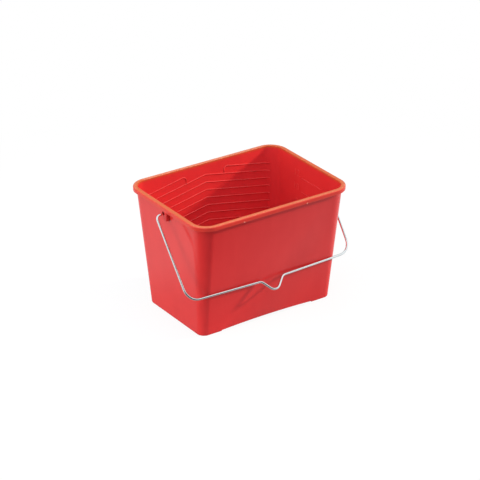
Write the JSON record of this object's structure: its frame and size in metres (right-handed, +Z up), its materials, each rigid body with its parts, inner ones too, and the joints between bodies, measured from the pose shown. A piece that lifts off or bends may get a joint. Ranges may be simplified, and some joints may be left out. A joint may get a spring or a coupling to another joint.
{
  "type": "wash bucket",
  "caption": "Rectangular moulded wash bucket with tapered walls, a turned-down rim, a ribbed wipe-off wall, a litre scale and a swinging bent-wire bail.",
  "frame": {"origin": "on the floor under the middle of the tub", "axes": "+X along the long side, -Y towards the front wall that the bail lies on, +Z up"},
  "size_m": [0.3762, 0.256, 0.2388],
  "materials": {
    "tub_plastic": "red injection-moulded polypropylene, semi-gloss",
    "plated_wire": "bright zinc-plated drawn steel wire"
  },
  "bodies": {
    "tub": {"bucket_tub": "tub_plastic"},
    "bail": {"wire_bail": "plated_wire"}
  },
  "joints": [
    {"name": "bail_swing", "type": "hinge", "parent": "tub", "child": "bail", "pos_m": [0, -0.003, 0.2246], "axis": [-1, 0, 0], "range_deg": [0, 282.8]}
  ]
}
